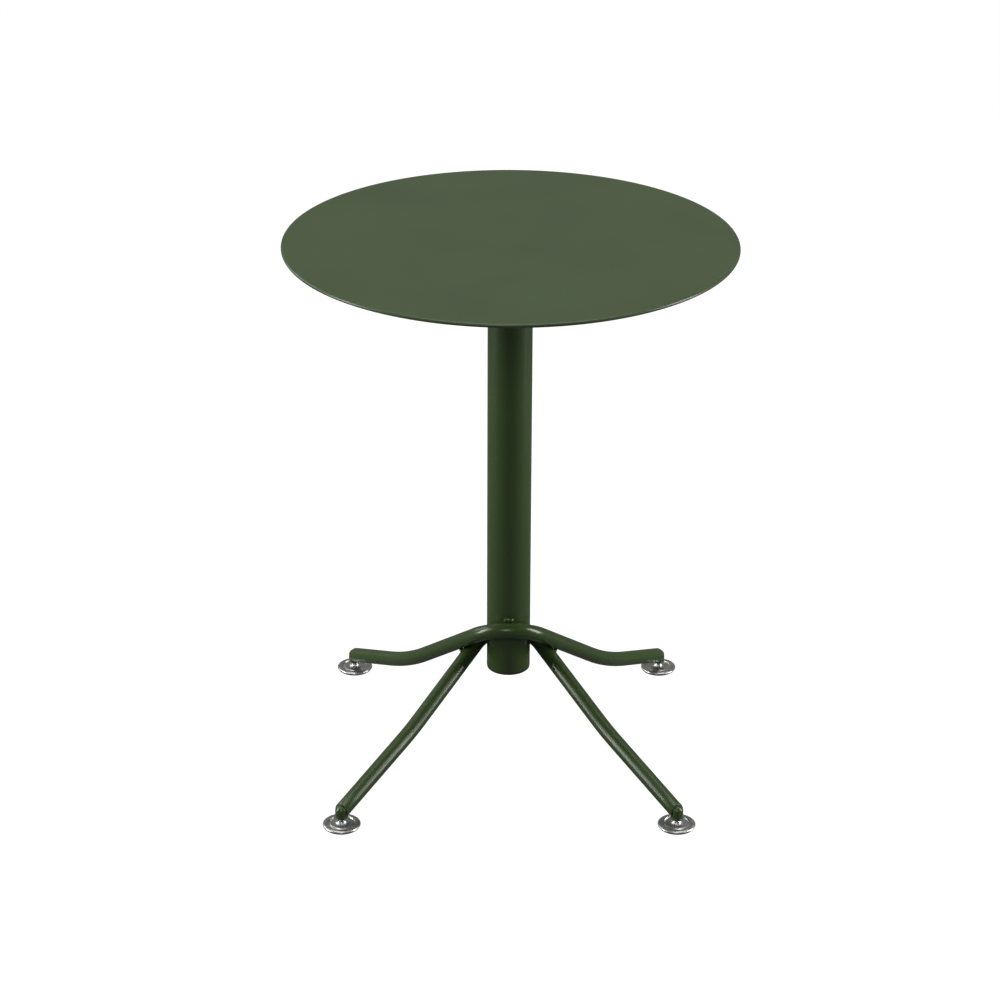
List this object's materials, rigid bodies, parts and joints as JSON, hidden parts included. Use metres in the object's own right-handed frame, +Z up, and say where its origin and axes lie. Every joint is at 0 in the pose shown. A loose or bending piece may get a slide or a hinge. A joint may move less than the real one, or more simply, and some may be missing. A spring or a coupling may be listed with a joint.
{
  "type": "bistro table",
  "caption": "Round steel bistro table on a tube column, with two bent leg tubes that cross beside the column and end in adjustable stainless levelling feet.",
  "frame": {"origin": "on the floor, under the middle of the round top and of the column", "axes": "+Z up; the two front feet are on the -Y side; +X to the right seen from the front"},
  "size_m": [0.6, 0.6, 0.75],
  "materials": {
    "green_powder_top": "fine matt powder coat, dark olive green",
    "green_powder_frame": "satin powder coat, dark olive green",
    "stainless": "polished stainless steel",
    "zinc_steel": "zinc plated",
    "black_plastic": "moulded black plastic"
  },
  "bodies": {
    "frame": {"table_top": "green_powder_top", "top_stiffener": "green_powder_frame", "top_ribs": "green_powder_frame", "weld_nuts": "zinc_steel", "top_bolts": "zinc_steel", "spring_washers": "zinc_steel", "flat_washers": "zinc_steel", "mount_plate": "green_powder_frame", "column_tube": "green_powder_frame", "column_head_weld": "green_powder_frame", "column_end_plug": "black_plastic", "upper_leg_tube": "green_powder_frame", "lower_leg_tube": "green_powder_frame", "column_welds": "green_powder_frame", "crossing_welds": "green_powder_frame", "foot_socket_front_left": "green_powder_frame", "foot_socket_front_right": "green_powder_frame", "foot_socket_back_left": "green_powder_frame", "foot_socket_back_right": "green_powder_frame"},
    "foot_front_left": {"disc_front_left": "stainless", "pad_front_left": "black_plastic"},
    "screw_front_left": {"stud_front_left": "stainless"},
    "foot_front_right": {"disc_front_right": "stainless", "pad_front_right": "black_plastic"},
    "screw_front_right": {"stud_front_right": "stainless"},
    "foot_back_left": {"disc_back_left": "stainless", "pad_back_left": "black_plastic"},
    "screw_back_left": {"stud_back_left": "stainless"},
    "foot_back_right": {"disc_back_right": "stainless", "pad_back_right": "black_plastic"},
    "screw_back_right": {"stud_back_right": "stainless"}
  },
  "joints": [
    {"name": "foot_height_front_left", "type": "slide", "parent": "frame", "child": "foot_front_left", "axis": [0, 0, -1], "range_m": [-0.0025, 0.0075]},
    {"name": "screw_turn_front_left", "type": "hinge", "parent": "foot_front_left", "child": "screw_front_left", "pos_m": [-0.225, -0.225, 0], "axis": [0, 0, -1], "range_deg": [-721, 2161]},
    {"name": "foot_height_front_right", "type": "slide", "parent": "frame", "child": "foot_front_right", "axis": [0, 0, -1], "range_m": [-0.0025, 0.0075]},
    {"name": "screw_turn_front_right", "type": "hinge", "parent": "foot_front_right", "child": "screw_front_right", "pos_m": [0.225, -0.225, 0], "axis": [0, 0, -1], "range_deg": [-721, 2161]},
    {"name": "foot_height_back_left", "type": "slide", "parent": "frame", "child": "foot_back_left", "axis": [0, 0, -1], "range_m": [-0.0025, 0.0075]},
    {"name": "screw_turn_back_left", "type": "hinge", "parent": "foot_back_left", "child": "screw_back_left", "pos_m": [-0.225, 0.225, 0], "axis": [0, 0, -1], "range_deg": [-721, 2161]},
    {"name": "foot_height_back_right", "type": "slide", "parent": "frame", "child": "foot_back_right", "axis": [0, 0, -1], "range_m": [-0.0025, 0.0075]},
    {"name": "screw_turn_back_right", "type": "hinge", "parent": "foot_back_right", "child": "screw_back_right", "pos_m": [0.225, 0.225, 0], "axis": [0, 0, -1], "range_deg": [-721, 2161]}
  ],
  "couplings": [
    {"joint": "screw_turn_front_left", "follows": "foot_height_front_left", "rad_per_m": 5026.5},
    {"joint": "screw_turn_front_right", "follows": "foot_height_front_right", "rad_per_m": 5026.5},
    {"joint": "screw_turn_back_left", "follows": "foot_height_back_left", "rad_per_m": 5026.5},
    {"joint": "screw_turn_back_right", "follows": "foot_height_back_right", "rad_per_m": 5026.5}
  ]
}
